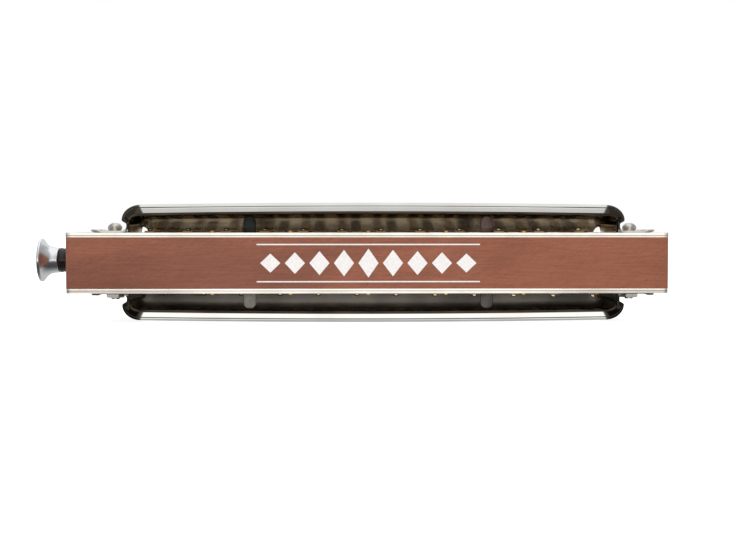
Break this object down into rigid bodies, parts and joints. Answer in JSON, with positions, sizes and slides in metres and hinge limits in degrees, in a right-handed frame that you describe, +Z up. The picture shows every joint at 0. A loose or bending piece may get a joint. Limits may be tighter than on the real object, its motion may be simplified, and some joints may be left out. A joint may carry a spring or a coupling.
{
  "type": "chromatic harmonica",
  "caption": "Slide chromatic harmonica: wooden comb, reed plates, open-backed polished covers, round-holed mouthpiece and a sprung slide pushed by a flared button.",
  "frame": {"origin": "on the surface that the harmonica lies on, under the middle of its bounding box", "axes": "+X along the row of holes away from the button, +Y from the open back to the mouthpiece, +Z up"},
  "size_m": [0.1504, 0.0384, 0.0277],
  "materials": {
    "pearwood": "fine straight-grained reddish wood, sealed satin",
    "plate_brass": "drawn sheet, fine polish, pale bright edges",
    "reed_brass": "rolled, fine lengthwise scratches",
    "rivet_metal": "dull peened steel",
    "valve_film": "thin matte film",
    "nail_brass": "bright domed heads",
    "cover_steel": "mirror-polished sheet",
    "support_steel": "satin strip",
    "screw_nickel": "nickel-plated, slightly worn",
    "slide_steel": "finely ground sheet",
    "mouthpiece_chrome": "mirror-polished",
    "button_chrome": "mirror-polished",
    "bumper_rubber": "smooth, slightly glossy",
    "spring_wire": "drawn spring wire"
  },
  "bodies": {
    "body": {"comb": "pearwood", "upper_reed_plate": "plate_brass", "lower_reed_plate": "plate_brass", "upper_draw_reeds": "reed_brass", "lower_draw_reeds": "reed_brass", "upper_blow_reeds": "reed_brass", "lower_blow_reeds": "reed_brass", "upper_reed_rivets": "rivet_metal", "lower_reed_rivets": "rivet_metal", "upper_outer_valves": "valve_film", "lower_outer_valves": "valve_film", "upper_inner_valves": "valve_film", "lower_inner_valves": "valve_film", "upper_plate_nails": "nail_brass", "lower_plate_nails": "nail_brass", "upper_cover": "cover_steel", "lower_cover": "cover_steel", "upper_left_support": "support_steel", "upper_right_support": "support_steel", "lower_left_support": "support_steel", "lower_right_support": "support_steel", "cover_screws": "screw_nickel", "cover_nuts": "screw_nickel", "slide_back_plate": "slide_steel", "slide_cage": "slide_steel", "mouthpiece": "mouthpiece_chrome", "mouthpiece_screws": "screw_nickel", "slide_spring": "spring_wire"},
    "slider": {"slide": "slide_steel", "button": "button_chrome", "bumper": "bumper_rubber", "button_pin": "screw_nickel"}
  },
  "joints": [
    {"name": "slide_travel", "type": "slide", "parent": "body", "child": "slider", "axis": [1, 0, 0], "range_m": [0, 0.0045], "stiffness_N_per_m": 150, "springref_m": -0.003, "deforming": ["slide_spring"]}
  ]
}
